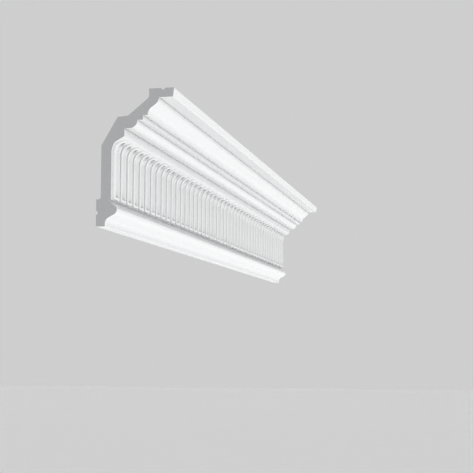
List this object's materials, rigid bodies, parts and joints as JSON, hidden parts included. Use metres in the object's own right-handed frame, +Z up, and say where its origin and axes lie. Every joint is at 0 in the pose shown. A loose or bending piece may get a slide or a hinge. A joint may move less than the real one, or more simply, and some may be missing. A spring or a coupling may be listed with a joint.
{
  "type": "cornice moulding length",
  "caption": "Straight length of fluted ceiling cornice in primed rigid foam, cut square at both ends, glued into the corner of a wall and ceiling.",
  "frame": {"origin": "on the wall face at mid length, in the middle of the flat strip between the lower edge and the glue groove, 6.325 mm above the lower edge", "axes": "+X along the moulding's length, +Y out of the wall face into the wall, +Z up towards the ceiling; the room is on the -Y side"},
  "size_m": [1.039, 0.0872, 0.15],
  "materials": {
    "foam": "factory primed white polyurethane foam, smooth satin skin, bare light grey core at the cut ends"
  },
  "bodies": {
    "root": {"cornice": "foam"}
  },
  "joints": []
}
